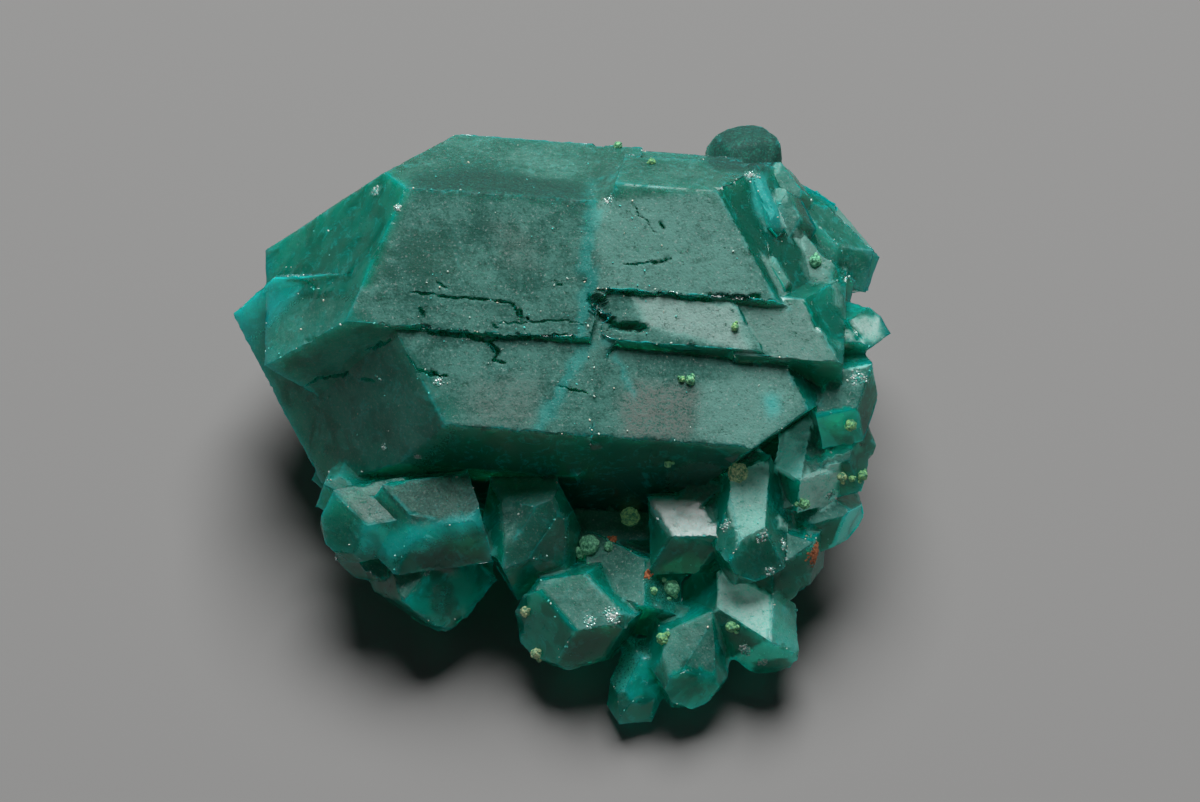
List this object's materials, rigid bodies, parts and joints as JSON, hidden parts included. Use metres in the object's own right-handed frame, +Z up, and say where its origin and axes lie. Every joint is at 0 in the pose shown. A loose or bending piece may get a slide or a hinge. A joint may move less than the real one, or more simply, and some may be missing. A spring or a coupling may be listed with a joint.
{
  "type": "dioptase crystal specimen",
  "caption": "Hand specimen of dioptase: a large green crystal lying down, with smaller crystals grown round its lower front and one end, on a flat broken base.",
  "frame": {"origin": "on the flat base plane, under the middle of the specimen's bounding box", "axes": "+X along the large crystal towards its clustered end, +Y from the front to the back, +Z up from the base"},
  "size_m": [0.0246, 0.0228, 0.013],
  "materials": {
    "dioptase_green": "translucent blue-green crystal, vitreous on clean faces and frosted with a pale dusty bloom on the upper ones"
  },
  "bodies": {
    "root": {"dioptase_crystals": "dioptase_green"}
  },
  "joints": []
}
